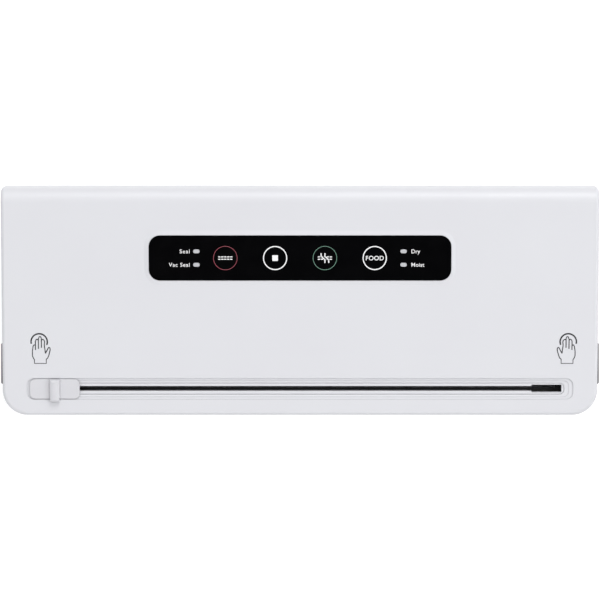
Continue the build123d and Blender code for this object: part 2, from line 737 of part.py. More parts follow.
# Slot for the hook, window for the button, shelf under the catch and seat for its spring
def cut_latch(solid, side):
    slot = slab(ground, hook_thickness + barb_reach + 6, hook_width + 6, deck_under - 1, deck_height + 1,
                (side * (hook_inner_x + 0.5), button_y))
    inner = half_width - base_wall - 1
    window = block((inner, button_y - button_length / 2 - slide_gap, button_centre_z - button_height / 2 - slide_gap),
                   (half_width + 1, button_y + button_length / 2 + slide_gap,
                    button_centre_z + button_height / 2 + slide_gap))
    reach = catch_arm_y + catch_arm_width / 2
    shelf_top = button_centre_z - catch_thickness / 2 - slide_gap
    shelf_high = button_centre_z - button_height / 2 - button_flange - 2 * slide_gap
    post = block((catch_nose_x - catch_bar_depth + 0.5, button_y - reach, bottom_top),
                 (catch_nose_x + 2.0, button_y + reach, shelf_top))
    seat = block((spring_seat_x - 3, button_y - 5, bottom_top), (spring_seat_x, button_y + 5, deck_under + 0.5))
    foot = block((catch_nose_x + 1.5, button_y - reach, bottom_top), (half_width - base_wall + 0.5, button_y + reach,
                                                                   min(shelf_top, shelf_high)))
    added = post + seat + foot
    if side < 0:
        window, added = mirror(window, about=Plane.YZ), mirror(added, about=Plane.YZ)
    return solid - slot - window + added


# Knuckle that stands in the lid's barrel and carries a hinge pin
def base_knuckle(side):
    x = side * (half_width - hinge_inset)
    neck = Pos(axis_y, axis_z) * Rot(0, 0, -90 - neck_lean) * Pos(barrel_radius / 2 + 1, 0) * Rectangle(
        barrel_radius + 2, neck_width)
    faces = Pos(axis_y, axis_z) * Circle(knuckle_radius) + neck
    knuckle = extrude(Plane.YZ.offset(x - knuckle_width / 2) * faces, amount=knuckle_width)
    return knuckle - rod(hinge_pin_radius + pin_gap, x - knuckle_width, x + knuckle_width, axis_y, axis_z)


def hinge_pins():
    reach = knuckle_width / 2 + seam_gap + lug_width
    return [rod(hinge_pin_radius, side * (half_width - hinge_inset) - reach,
                side * (half_width - hinge_inset) + reach, axis_y, axis_z) for side in (-1, 1)]


# Bottom cover with vents, foot sockets and sunk screw holes
def bottom_cover():
    inset = base_wall + fit_gap
    plate = slab(ground, case_width - 2 * inset, case_depth - 2 * inset, bottom_low, bottom_top)
    plate = fillet(upright_edges(plate, True), front_corner_radius - inset)
    for x, y in base_boss_places:
        plate -= disc(ground, screw_radius + fit_gap, bottom_low - 1, bottom_top + 1, (x, y))
        plate -= disc(ground, screw_head_radius + fit_gap, bottom_low - 1, bottom_low + screw_head_height, (x, y))
    for x, y in foot_places:
        plate -= disc(ground, foot_peg_radius + pin_gap, bottom_low - 1, bottom_top + 1, (x, y))
    for centre in (pump_x, transformer_x):
        for i in range(vent_count):
            at = (centre + (i - (vent_count - 1) / 2) * vent_pitch, 0)
            plate -= pill(Plane(origin=(0, 0, 0), x_dir=(0, 1, 0), z_dir=(0, 0, 1)), vent_length, vent_width,
                          bottom_low - 1, bottom_top + 1, (at[1] + 2, -at[0]))
    return plate


def bottom_screws():
    return [screw(x, y, bottom_low, bottom_top + screw_grip) for x, y in base_boss_places]


# Rubber feet with a peg pushed up through the bottom cover
def rubber_feet():
    feet = []
    for x, y in foot_places:
        pad = disc(ground, foot_radius, 0, bottom_low, (x, y))
        pad = fillet(pad.faces().sort_by(Axis.Z)[0].edges(), 0.6)
        feet.append(pad + disc(ground, foot_peg_radius, bottom_low, bottom_top, (x, y)))
    return feet


# Heater: insulating bar, resistance strip and the non-stick tape over it
def heater_bar():
    return slab(ground, heater_length, heater_bar_width, deck_height - heater_bar_height, deck_height, (0, heater_y))


def heating_element():
    return slab(ground, heater_length - 6, element_width, deck_height, deck_height + element_thickness, (0, heater_y))


def sealing_tape():
    low = deck_height + element_thickness
    return slab(ground, heater_length - 2, tape_width, low, low + tape_thickness, (0, heater_y))


# Release button: the cap that shows at the side, and a flange behind the wall
def release_button(side):
    wall_in = half_width - base_wall
    cap = block((wall_in - slide_gap, button_y - button_length / 2, button_centre_z - button_height / 2),
                (half_width + button_proud, button_y + button_length / 2, button_centre_z + button_height / 2))
    outer = cap.faces().sort_by(Axis.X)[-1]
    cap = fillet(outer.edges(), 1.4)
    cap += block((wall_in - slide_gap - button_flange, button_y - button_length / 2 - button_flange,
                  button_centre_z - button_height / 2 - button_flange),
                 (wall_in - slide_gap, button_y + button_length / 2 + button_flange,
                  button_centre_z + button_height / 2 + button_flange))
    return cap if side > 0 else mirror(cap, about=Plane.YZ)


# Catch: two arms past the hook and a cross bar whose nose holds the hook's barb
def latch_catch(side):
    high = button_centre_z + barb_height / 2
    low = button_centre_z - catch_thickness / 2
    start = half_width - base_wall - slide_gap - button_flange
    frame = Part()
    for arm in (-1, 1):
        middle = button_y + arm * catch_arm_y
        frame += block((catch_nose_x - catch_bar_depth, middle - catch_arm_width / 2, low),
                       (start, middle + catch_arm_width / 2, low + catch_thickness))
    frame += block((catch_nose_x - catch_bar_depth, button_y - catch_arm_y, low),
                   (catch_nose_x - barb_reach, button_y + catch_arm_y, high))
    frame += block((catch_nose_x - barb_reach - 0.1, button_y - hook_width / 2 + 0.5, high - barb_height),
                   (catch_nose_x, button_y + hook_width / 2 - 0.5, high))
    return frame if side > 0 else mirror(frame, about=Plane.YZ)


# Coil spring that pushes the catch outwards
def latch_spring(side):
    start = spring_seat_x + latch_wire_radius + 0.1
    length = latch_spring_length - 2 * latch_wire_radius - 0.2
    mean = latch_spring_radius - latch_wire_radius
    path = Helix(pitch=length / latch_spring_turns, height=length, radius=mean,
                 center=(start, button_y, button_centre_z), direction=(1, 0, 0))
    section = Plane(origin=path @ 0, z_dir=path % 0) * Circle(latch_wire_radius)
    spring = sweep(section, path=path)
    return spring if side > 0 else mirror(spring, about=Plane.YZ)


# Vacuum pump: motor, crankcase, crank, diaphragm and valve head
def pump_motor():
    end = pump_x - crankcase_length / 2
    can = rod(motor_radius, end - motor_length, end, pump_y, pump_z)
    can = fillet(can.faces().sort_by(Axis.X)[0].edges(), motor_edge_radius)
    return can - rod(crank_shaft_radius + pin_gap, end - crank_tail - crank_tail_gap, end + 1, pump_y, pump_z)


def pump_crankcase():
    half = crankcase_length / 2
    case = block((pump_x - half, pump_y - crankcase_depth / 2, pump_z - crankcase_height / 2),
                 (pump_x + half, pump_y + crankcase_depth / 2, pump_head_low))
    case -= rod(crank_bore_radius, pump_x - half + crankcase_wall, pump_x + half - crankcase_wall, pump_y, pump_z)
    case -= rod(crank_shaft_radius + pin_gap, pump_x - half - 1, pump_x + half, pump_y, pump_z)
    case -= disc(ground, diaphragm_radius - diaphragm_rest, pump_z, pump_head_low + 1, (pump_x, pump_y))
    case -= disc(ground, diaphragm_radius + fit_gap, pump_head_low - diaphragm_thickness, pump_head_low + 1,
                 (pump_x, pump_y))
    leg = crankcase_leg
    for end in (-1, 1):
        x = pump_x + end * (half - leg / 2)
        case += block((x - leg / 2, pump_y - crankcase_depth / 2, bottom_top),
                      (x + leg / 2, pump_y + crankcase_depth / 2, pump_z - crankcase_height / 2))
    return case


def pump_crank():
    half = crankcase_length / 2
    crank = rod(crank_shaft_radius, pump_x - half - crank_tail, pump_x + half - crankcase_wall / 3, pump_y, pump_z)
    web = crank_web_width / 2
    return crank + rod(crank_web_radius, pump_x - web, pump_x + web, pump_y, pump_z - crank_throw)


def pump_diaphragm():
    low = pump_head_low - diaphragm_thickness
    sheet = disc(ground, diaphragm_radius, low, pump_head_low, (pump_x, pump_y))
    post_low = pump_z + crank_web_radius + crank_throw + slide_gap
    return sheet + disc(ground, diaphragm_post_radius, post_low, low, (pump_x, pump_y))


def pump_head():
    half = crankcase_length / 2
    head = block((pump_x - half, pump_y - crankcase_depth / 2, pump_head_low),
                 (pump_x + half, pump_y + crankcase_depth / 2, pump_head_top))
    head -= disc(ground, diaphragm_radius - pump_chamber_rim, pump_head_low - 1, pump_head_low + pump_chamber_depth,
                 (pump_x, pump_y))
    head += rod(barb_radius, pump_x + half - barb_root, pump_x + half + barb_length, pump_y, head_barb_z)
    return head - rod(barb_radius - barb_wall, pump_x, pump_x + half + barb_length + 1, pump_y, head_barb_z)


# Nipple in the floor of the chamber that the hose is pushed onto
def vacuum_port():
    at = (port_x, port_y)
    nipple = disc(ground, barb_radius, port_flange_low - barb_length, trough_floor, at)
    nipple += disc(ground, barb_radius + 1.2, port_flange_low, trough_under, at)
    return nipple - disc(ground, barb_radius - barb_wall, port_flange_low - barb_length - 1, trough_floor + 1, at)


# Hose from the chamber to the pump, pushed over both nipples
def vacuum_hose():
    end = (pump_x + crankcase_length / 2, pump_y, head_barb_z)
    run = [(port_x, port_y, port_flange_low), (port_x, port_y, hose_low_z), (port_x, pump_y, hose_low_z),
           (port_x, pump_y, head_barb_z), end]
    path = FilletPolyline(*run, radius=hose_bend)
    section = Plane(origin=path @ 0, z_dir=path % 0) * (Circle(hose_radius) - Circle(hose_bore_radius))
    return sweep(section, path=path)


# Mains transformer: laminated core and its wound coil
def transformer_core():
    low = bottom_top
    half = core_length / 2
    core = block((transformer_x - half, transformer_y - core_depth / 2, low),
                 (transformer_x + half, transformer_y + core_depth / 2, low + core_height))
    leg = core_length / 6
    for end in (-1, 1):
        middle = transformer_x + end * core_length / 4
        core -= block((middle - leg / 2, transformer_y - core_depth, low + leg),
                      (middle + leg / 2, transformer_y + core_depth, low + core_height - leg))
    return core


def transformer_coil():
    leg = core_length / 6
    low = bottom_top + leg + fit_gap
    high = bottom_top + core_height - leg - fit_gap
    half = core_length / 4 + leg / 2 - fit_gap
    outer = slab(ground, 2 * half, core_depth + 2 * coil_proud, low, high, (transformer_x, transformer_y), 3)
    inner = core_length / 4 - leg / 2 + fit_gap
    return outer - slab(ground, 2 * inner, core_depth + 2 * fit_gap, low - 1, high + 1, (transformer_x, transformer_y))


# Main circuit board on four posts, with its relay, capacitors and lid switch
def main_board():
    top = bottom_top + main_board_rise
    return slab(ground, main_board_length, main_board_width, top, top + board_thickness, (main_board_x, main_board_y))


def board_posts():
    reach_x = main_board_length / 2 - board_post_inset
    reach_y = main_board_width / 2 - board_post_inset
    return [disc(ground, board_post_radius, bottom_top, bottom_top + main_board_rise,
                 (main_board_x + sx * reach_x, main_board_y + sy * reach_y))
            for sx in both_sides for sy in both_sides]


def board_parts():
    top = bottom_top + main_board_rise + board_thickness
    left = main_board_x - main_board_length / 2 + board_post_inset
    rear = main_board_y + main_board_width / 2 - board_post_inset
    front = main_board_y - main_board_width / 2 + board_post_inset
    parts = [slab(ground, relay_length, relay_size, top, top + relay_size,
                  (left + relay_length / 2, rear - relay_size / 2))]
    for i in range(3):
        x = left + relay_length + capacitor_pitch * (i + 0.7)
        can = disc(ground, capacitor_radius, top, top + capacitor_height, (x, rear - capacitor_radius))
        parts.append(fillet(can.faces().sort_by(Axis.Z)[-1].edges(), capacitor_radius / 6))
    for i in range(2):
        x = left + connector_length / 2 + 2 * i * connector_length
        parts.append(slab(ground, connector_length, connector_width, top, top + connector_height,
                          (x, front + connector_width / 2)))
    return parts


# Mains inlet socket in the rear wall, with its two pins
def power_inlet():
    low = (inlet_x - inlet_body_width / 2, rear_y - inlet_body_depth, inlet_low_z)
    high = (inlet_x + inlet_body_width / 2, rear_y, inlet_low_z + inlet_body_height)
    body = block(low, high)
    body += block((low[0] - 2, rear_y - base_wall - 2, low[2] - 2), (high[0] + 2, rear_y - base_wall, high[2] + 2))
    mouth = SlotOverall(inlet_socket_width, inlet_socket_height)
    body -= extrude(Plane.XZ.offset(-rear_y) * Pos(inlet_x, inlet_z) * mouth, amount=inlet_socket_depth)
    for x in (-inlet_pin_pitch / 2, inlet_pin_pitch / 2):
        body -= extrude(Plane.XZ.offset(-rear_y) * Pos(inlet_x + x, inlet_z) * Circle(inlet_pin_radius + pin_gap),
                        amount=inlet_body_depth + 1)
    return body


def inlet_pins():
    start = rear_y - inlet_socket_depth + inlet_pin_length
    length = inlet_pin_length + inlet_body_depth - inlet_socket_depth + 4
    return [extrude(Plane.XZ.offset(-start) * Pos(inlet_x + x, inlet_z) * Circle(inlet_pin_radius), amount=length)
            for x in (-inlet_pin_pitch / 2, inlet_pin_pitch / 2)]


def all_parts():
    lower_ring_low = deck_height - gasket_groove
    parts = {
        "base_housing": base_housing(),
        "bottom_cover": bottom_cover(),
        "rubber_feet": rubber_feet(),
        "bottom_screws": bottom_screws(),
        "hinge_pins": hinge_pins(),
        "lower_gasket": gasket(lower_ring_low, deck_height + gasket_rise),
        "heater_bar": heater_bar(),
        "heating_element": heating_element(),
        "sealing_tape": sealing_tape(),
        "vacuum_port": vacuum_port(),
        "vacuum_hose": vacuum_hose(),
        "pump_motor": pump_motor(),
        "pump_crankcase": pump_crankcase(),
        "pump_crank": pump_crank(),
        "pump_diaphragm": pump_diaphragm(),
        "pump_head": pump_head(),
        "transformer_core": transformer_core(),
        "transformer_coil": transformer_coil(),
        "main_board": main_board(),
        "main_board_posts": board_posts(),
        "main_board_parts": board_parts(),
        "power_inlet": power_inlet(),
        "inlet_pins": inlet_pins(),
        "lid_cover": lid_cover(),
        "lid_liner": lid_liner(),
        "lid_hooks": lid_hooks(),
        "lid_screws": lid_screws(),
        "upper_gasket": gasket(lid_bottom - gasket_rise, lid_bottom + gasket_groove),
        "press_bar": press_bar(),
        "slit_seal": slit_seal(),
        "cutter_rail": cutter_rail(),
        "cutter_slider": cutter_slider(),
        "cutter_shoe": cutter_shoe(),
        "cutter_blade": cutter_blade(),
        "control_panel": control_panel(),
        "indicator_lenses": indicator_lenses(),
        "control_board": control_board(),
        "control_board_spacers": control_board_spacers(),
        "key_switches": key_switches(),
        "indicator_lamps": indicator_lamps(),
    }
    for name, x in zip(key_names, key_places):
        parts[name] = push_key(x)
    for name, side in (("left", -1), ("right", 1)):
        parts[name + "_release_button"] = release_button(side)
        parts[name + "_latch_catch"] = latch_catch(side)
        parts[name + "_latch_spring"] = latch_spring(side)
    return parts


def main():
    os.makedirs("parts", exist_ok=True)
    for name, shape in all_parts().items():
        export_step(Compound(children=shape) if isinstance(shape, list) else shape, f"parts/{name}.step")


if __name__ == "__main__":
    main()
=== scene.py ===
# Countertop vacuum sealer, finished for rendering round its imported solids.
# Metres, +Z up, the front edge towards -Y.
import json
import math

import bpy
from mathutils import Matrix, Vector


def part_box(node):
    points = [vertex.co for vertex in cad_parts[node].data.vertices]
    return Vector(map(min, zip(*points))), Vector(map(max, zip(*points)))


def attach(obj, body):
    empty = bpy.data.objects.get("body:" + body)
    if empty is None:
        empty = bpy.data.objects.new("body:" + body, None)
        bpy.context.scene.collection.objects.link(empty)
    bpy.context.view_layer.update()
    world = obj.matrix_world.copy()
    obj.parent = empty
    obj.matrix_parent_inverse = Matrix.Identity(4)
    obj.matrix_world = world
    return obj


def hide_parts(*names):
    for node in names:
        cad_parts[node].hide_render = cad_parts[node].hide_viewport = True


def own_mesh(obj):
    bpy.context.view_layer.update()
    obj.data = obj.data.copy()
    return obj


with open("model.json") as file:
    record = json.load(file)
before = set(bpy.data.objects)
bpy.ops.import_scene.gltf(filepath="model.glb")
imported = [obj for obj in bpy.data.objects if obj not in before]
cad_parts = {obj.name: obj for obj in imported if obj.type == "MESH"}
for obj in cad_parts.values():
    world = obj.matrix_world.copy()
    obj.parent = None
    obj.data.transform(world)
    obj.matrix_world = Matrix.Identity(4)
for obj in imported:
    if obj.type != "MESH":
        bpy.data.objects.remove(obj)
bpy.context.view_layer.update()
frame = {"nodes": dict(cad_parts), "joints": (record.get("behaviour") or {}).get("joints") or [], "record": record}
nodes = frame["nodes"]
mm = 0.001
bpy.ops.object.select_all(action="DESELECT")
print("frame loaded:", len(nodes), "nodes")


def jointNamed(name):
    return next(joint for joint in frame["joints"] if joint["name"] == name)


# the keys are pushed straight into the sloping lid, so their joint gives its slope
lidUp = -Vector(jointNamed("seal_key_press")["axis"]).normalized()
lidRight = Vector((1, 0, 0))
lidBack = lidUp.cross(lidRight)


def reach(node, direction):
    spans = [vertex.co.dot(direction) for vertex in nodes[node].data.vertices]
    return min(spans), max(spans)


def middle(node, direction):
    return sum(reach(node, direction)) / 2


levelWithin = {"cosine": 0.9999, "digits": 5}  # how closely a face looks along the lid's normal, and heights agree


def mainHeight(node):  # height of the node's largest flat that looks along the lid's normal
    areas = {}
    for face in nodes[node].data.polygons:
        if face.normal.dot(lidUp) > levelWithin["cosine"]:
            height = round(face.center.dot(lidUp), levelWithin["digits"])
            areas[height] = areas.get(height, 0) + face.area
    return max(areas, key=areas.get)


lidHeight = mainHeight("lid_cover")
panelHeight = mainHeight("control_panel")
panelBack = middle("control_panel", lidBack)


# small modelling helpers


def named(name):  # the piece that an operator has just added
    piece = bpy.context.object
    piece.name = name
    piece.data.name = name
    return piece


def editAll(piece):
    bpy.ops.object.select_all(action="DESELECT")
    piece.select_set(True)
    bpy.context.view_layer.objects.active = piece
    bpy.ops.object.mode_set(mode="EDIT")
    bpy.ops.mesh.select_all(action="SELECT")


def leaveEdit():
    bpy.ops.object.mode_set(mode="OBJECT")


def finishWith(piece, kind, **settings):
    modifier = piece.modifiers.new(kind.title(), kind)
    for key, value in settings.items():
        setattr(modifier, key, value)
    bpy.context.view_layer.objects.active = piece
    bpy.ops.object.modifier_apply(modifier=modifier.name)


def joined(name, pieces):
    bpy.ops.object.select_all(action="DESELECT")
    for piece in pieces:
        piece.select_set(True)
    bpy.context.view_layer.objects.active = pieces[0]
    if len(pieces) > 1:
        bpy.ops.object.join()
    return named(name)


def layOnLid(piece, right, back, height):  # from flat on the ground to flat on the lid's slope
    turn = Matrix((lidRight, lidBack, lidUp)).transposed().to_4x4()
    place = lidRight * right + lidBack * back + lidUp * height
    piece.data.transform(Matrix.Translation(place) @ turn)
    piece.data.update()


# finishes


def linear(hexColour):
    parts = [int(hexColour[i : i + 2], 16) / 255 for i in (1, 3, 5)]
    return [c / 12.92 if c <= 0.04045 else ((c + 0.055) / 1.055) ** 2.4 for c in parts] + [1.0]


def addNode(tree, kind, inputs=None, **settings):
    node = tree.nodes.new(kind)
    for key, value in settings.items():
        setattr(node, key, value)
    for key, value in (inputs or {}).items():
        if isinstance(value, bpy.types.NodeSocket):
            tree.links.new(value, node.inputs[key])
        else:
            node.inputs[key].default_value = value
    return node


def newFinish(name, **sockets):
    finish = bpy.data.materials.new(name)
    finish.use_nodes = True
    shader = finish.node_tree.nodes["Principled BSDF"]
    for key, value in sockets.items():
        shader.inputs[key.replace("_", " ")].default_value = value
    place = addNode(finish.node_tree, "ShaderNodeTexCoord").outputs["Object"]
    return finish, finish.node_tree, shader, place


def tintBetween(tree, shader, factor, first, second):
    mix = addNode(tree, "ShaderNodeMix", {0: factor, 6: linear(first), 7: linear(second)}, data_type="RGBA")
    tree.links.new(mix.outputs[2], shader.inputs["Base Color"])


def roughBetween(tree, shader, factor, low, high):
    rough = addNode(tree, "ShaderNodeMapRange", {"Value": factor, "To Min": low, "To Max": high})
    tree.links.new(rough.outputs["Result"], shader.inputs["Roughness"])


def raiseBy(tree, shader, height, depthMm, strength):
    bump = addNode(tree, "ShaderNodeBump", {"Height": height, "Distance": depthMm * mm, "Strength": strength})
    tree.links.new(bump.outputs["Normal"], shader.inputs["Normal"])
    return bump


def follow(tree, shader, pattern, look):  # colour, gloss and relief all follow one pattern
    tintBetween(tree, shader, pattern, *look["colours"])
    roughBetween(tree, shader, pattern, *look["rough"])
    if "relief" in look:
        raiseBy(tree, shader, pattern, *look["relief"])


def waveScale(spacingMm):  # a wave texture's scale for bands this far apart
    return 2 * math.pi / 20 / (spacingMm * mm)


# injection-moulded plastic: a soft sheen broken by the fine spark-eroded grain of the mould,
# which is drawn at about 1 mm, coarser than the mould's own, so that it shows; edges catch a thin light
plasticLooks = {
    "white_shell": dict(name="white_abs", ior=1.53, colours=("#cacace", "#cecfd2"), rough=(0.38, 0.5), edgeMm=0.2,
                        cloudMm=70, grainMm=0.9, relief=(0.05, 0.18)),
    # painted shade: the slider is the shell's white ABS made a little darker, standing in for the shade in its dished
    # grips
    "white_slider": dict(name="white_abs_slider_painted_shade", ior=1.53, colours=("#c3c3c7", "#c8c8cb"), rough=(0.34, 0.44),
                         edgeMm=0.5, cloudMm=12, grainMm=0.7, relief=(0.04, 0.12)),
    "dark_grey_plastic": dict(name="dark_grey_abs", ior=1.53, colours=("#141417", "#1c1c1f"), rough=(0.42, 0.55),
                              edgeMm=0.5, cloudMm=9, grainMm=0.7, relief=(0.05, 0.25)),
    "light_grey_plastic": dict(name="grey_polypropylene", ior=1.49, colours=("#a9aaad", "#b3b4b7"), rough=(0.45, 0.6),
                               edgeMm=0.4, cloudMm=40, grainMm=1.1, relief=(0.06, 0.25)),
    "pump_body": dict(name="glass_filled_nylon", ior=1.53, colours=("#242427", "#303033"), rough=(0.5, 0.68),
                      edgeMm=0.4, cloudMm=8, grainMm=0.5, relief=(0.06, 0.5)),
    "component_black": dict(name="black_inlet_nylon", ior=1.53, colours=("#161618", "#1f1f21"), rough=(0.4, 0.55),
                            edgeMm=0.3, cloudMm=6, grainMm=0.6, relief=(0.05, 0.3)),
}
plasticDetail = {"cloud": 2, "grain": 3, "edgeSamples": 6}


def mouldedPlastic(look):
    finish, tree, shader, place = newFinish(look["name"], IOR=look["ior"])
    clouds = addNode(tree, "ShaderNodeTexNoise", {"Vector": place, "Scale": 1 / (look["cloudMm"] * mm),
                                                  "Detail": plasticDetail["cloud"]})
    tintBetween(tree, shader, clouds.outputs["Fac"], *look["colours"])
    grain = addNode(tree, "ShaderNodeTexNoise", {"Vector": place, "Scale": 1 / (look["grainMm"] * mm),
                                                 "Detail": plasticDetail["grain"]})
    roughBetween(tree, shader, grain.outputs["Fac"], *look["rough"])
    bump = raiseBy(tree, shader, grain.outputs["Fac"], *look["relief"])
    edge = addNode(tree, "ShaderNodeBevel", {"Radius": look["edgeMm"] * mm}, samples=plasticDetail["edgeSamples"])
    tree.links.new(edge.outputs["Normal"], bump.inputs["Normal"])
    return finish


noiseLooks = {
    # polished acrylic fascia: mirror-like, with the faintest haze
    "black_gloss": dict(name="black_acrylic", shader=dict(IOR=1.49), noiseMm=9, detail=6,
                        colours=("#020203", "#060607"), rough=(0.04, 0.12)),
    # frosted polycarbonate light guide: pale, soft-edged
    "lens": dict(name="frosted_polycarbonate", shader=dict(IOR=1.58), noiseMm=0.8, detail=4,
                 colours=("#a6a7aa", "#bebfc2"), rough=(0.28, 0.45), relief=(0.04, 0.3)),
    # moulded rubber: matt, slightly dusty where it is handled
    "silicone": dict(name="red_silicone", shader=dict(IOR=1.5), noiseMm=3, detail=5,
                     colours=("#6d2018", "#873027"), rough=(0.5, 0.72), relief=(0.05, 0.3)),
    "foot_rubber": dict(name="black_rubber", shader=dict(IOR=1.5), noiseMm=3, detail=5,
                        colours=("#151515", "#232323"), rough=(0.5, 0.72), relief=(0.05, 0.3)),
    # clear soft tube: milky where light passes through its wall
    "clear_hose": dict(name="clear_pvc", shader=dict(IOR=1.53, Transmission_Weight=0.45), noiseMm=5, detail=3,
                       colours=("#d3d9d8", "#e8ecea"), rough=(0.16, 0.3)),
    # pressed phenolic laminate: brown, with paper fibres showing through the resin
    "phenolic": dict(name="pressed_phenolic", shader=dict(IOR=1.6), stretch=(1.0, 7.0, 7.0), noiseMm=6, detail=5,
                     colours=("#4a2a18", "#74482b"), rough=(0.3, 0.5), relief=(0.05, 0.4)),
    # zinc-plated steel: grey, with the even mottle of its plating
    "steel": dict(name="zinc_plated_steel", shader=dict(Metallic=1.0), stretch=(1, 1, 1), noiseMm=1.2, detail=4,
                  colours=("#8d8f94", "#b9bbc0"), rough=(0.25, 0.42), relief=(0.02, 0.35)),
    # ground blade steel: bright, lined across its edge
    "blade_steel": dict(name="ground_blade_steel", shader=dict(Metallic=1.0), stretch=(1, 1, 0.08), noiseMm=0.4,
                        detail=4, colours=("#a6a8ad", "#d4d6da"), rough=(0.14, 0.3), relief=(0.02, 0.35)),
    # rolled heating strip: dull and brownish, lined along its length
    "heater_strip": dict(name="rolled_nichrome", shader=dict(Metallic=1.0), stretch=(0.04, 1, 1), noiseMm=0.5,
                         detail=4, colours=("#6e6a64", "#97928a"), rough=(0.25, 0.4), relief=(0.02, 0.35)),
    # drawn motor can: satin, lined the way that it was drawn
    "motor_can": dict(name="drawn_motor_can", shader=dict(Metallic=1.0), stretch=(0.1, 1, 1), noiseMm=0.8, detail=4,
                      colours=("#8b8d92", "#aaacb1"), rough=(0.3, 0.45), relief=(0.02, 0.35)),
    # nickel-plated brass pins: warm and bright
    "plated_brass": dict(name="nickel_plated_brass", shader=dict(Metallic=1.0), stretch=(1, 0.1, 1), noiseMm=0.5,
                         detail=4, colours=("#a79f88", "#cfc8b2"), rough=(0.18, 0.32), relief=(0.01, 0.35)),
}


def noiseFinish(look):  # one noise, stretched along the grain where the stuff has one
    finish, tree, shader, place = newFinish(look["name"], **look["shader"])
    if "stretch" in look:
        place = addNode(tree, "ShaderNodeMapping", {"Vector": place, "Scale": look["stretch"]}).outputs["Vector"]
    noise = addNode(tree, "ShaderNodeTexNoise", {"Vector": place, "Scale": 1 / (look["noiseMm"] * mm),
                                                 "Detail": look["detail"]})
    follow(tree, shader, noise.outputs["Fac"], look)
    return finish


bandLooks = {
    # stacked iron sheets under varnish: dark stripes one sheet apart
    "laminated_iron": dict(name="varnished_laminations", shader=dict(Metallic=0.7), bandMm=1.0, along="Y",
                           wander=0.0, colours=("#26262a", "#4b4b50"), rough=(0.35, 0.55), relief=(0.1, 0.5)),
    # polyester tape wound over a coil: yellow, with the edge of each turn showing
    "copper_coil": dict(name="polyester_coil_tape", shader=dict(IOR=1.6), bandMm=6, along="Z", wander=1.5,
                        colours=("#a98a1e", "#d6b73c"), rough=(0.22, 0.36), relief=(0.08, 0.4)),
}


def bandFinish(look):
    finish, tree, shader, place = newFinish(look["name"], **look["shader"])
    bands = addNode(tree, "ShaderNodeTexWave", {"Vector": place, "Scale": waveScale(look["bandMm"]),
                                                "Distortion": look["wander"]}, bands_direction=look["along"])
    follow(tree, shader, bands.outputs["Fac"], look)
    return finish


# closed-cell foam rubber: matt black, dimpled by cut cells
foamLook = dict(cellMm=0.9, colours=("#141415", "#2b2b2c"), rough=(0.72, 0.9), relief=(0.25, 0.6))


def foamRubber(look):
    finish, tree, shader, place = newFinish("closed_cell_foam", IOR=1.5)
    cells = addNode(tree, "ShaderNodeTexVoronoi", {"Vector": place, "Scale": 1 / (look["cellMm"] * mm)})
    follow(tree, shader, cells.outputs["Distance"], look)
    return finish


# coated glass cloth tape: brown, with the weave of its yarns showing, drawn at 0.9 mm so that it shows
tapeLook = dict(yarnMm=0.9, colours=("#6d5033", "#96734c"), rough=(0.4, 0.55), relief=(0.06, 0.5))


def wovenTape(look):
    finish, tree, shader, place = newFinish("coated_glass_cloth", IOR=1.38)
    yarn = waveScale(look["yarnMm"])
    warp = addNode(tree, "ShaderNodeTexWave", {"Vector": place, "Scale": yarn}, bands_direction="X")
    weft = addNode(tree, "ShaderNodeTexWave", {"Vector": place, "Scale": yarn}, bands_direction="Y")
    cross = addNode(tree, "ShaderNodeMath", {0: warp.outputs["Fac"], 1: weft.outputs["Fac"]}, operation="MULTIPLY")
    follow(tree, shader, cross.outputs["Value"], look)
    return finish


# glass-epoxy board: green resist over copper tracks
boardLook = dict(trackMm=14, trackShare=0.03, resist=("#14492b", "#195534"), track="#2f7a4c", rough=(0.3, 0.42),
                 relief=(0.04, 0.4))


def circuitBoard(look):
    finish, tree, shader, place = newFinish("green_glass_epoxy", IOR=1.55)
    first, second = (linear(colour) for colour in look["resist"])
    tracks = addNode(tree, "ShaderNodeTexBrick", {"Vector": place, "Scale": 1 / (look["trackMm"] * mm),
                                                  "Mortar Size": look["trackShare"], "Color1": first,
                                                  "Color2": second, "Mortar": linear(look["track"])})
    tree.links.new(tracks.outputs["Color"], shader.inputs["Base Color"])
    roughBetween(tree, shader, tracks.outputs["Fac"], *look["rough"])
    raiseBy(tree, shader, tracks.outputs["Fac"], *look["relief"])
    return finish


finishes = {slot: mouldedPlastic(look) for slot, look in plasticLooks.items()}
finishes.update({slot: noiseFinish(look) for slot, look in noiseLooks.items()})
finishes.update({slot: bandFinish(look) for slot, look in bandLooks.items()})
finishes["gasket_foam"] = foamRubber(foamLook)
finishes["tape"] = wovenTape(tapeLook)
finishes["circuit_board"] = circuitBoard(boardLook)

# screen-printed ink: flat colour with a slightly uneven film
inkFilm = dict(shader=dict(IOR=1.5), noiseMm=1.5, detail=3, rough=(0.35, 0.5))
inks = {
    "white": noiseFinish(dict(inkFilm, name="white_ink", colours=("#e2e2e2", "#f0f0f0"))),
    "red": noiseFinish(dict(inkFilm, name="red_ink", colours=("#7d3440", "#8c3d4a"))),
    "green": noiseFinish(dict(inkFilm, name="green_ink", colours=("#557a66", "#64897a"))),
    "black": noiseFinish(dict(inkFilm, name="black_ink", colours=("#121215", "#1c1c20"))),
}


def wear(piece, finish):  # the finish becomes the piece's only one
    piece.data.materials.clear()
    piece.data.materials.append(finish)


for part in frame["record"]["subparts"]:
    wear(nodes[part["node"]], finishes[part["material_slot"]])
print("finishes set on", len(nodes), "nodes")

# springs behind the catches, coiled again here; they shorten as a side button is pushed in, but these coils keep their
# length and ride with the button

springLook = {
    "wire": 0.4 * mm,  # radius
    "wireSides": 12,
    "turns": 6,
    "turnSteps": 24,
    "slack": 0.1 * mm,  # at each end
}


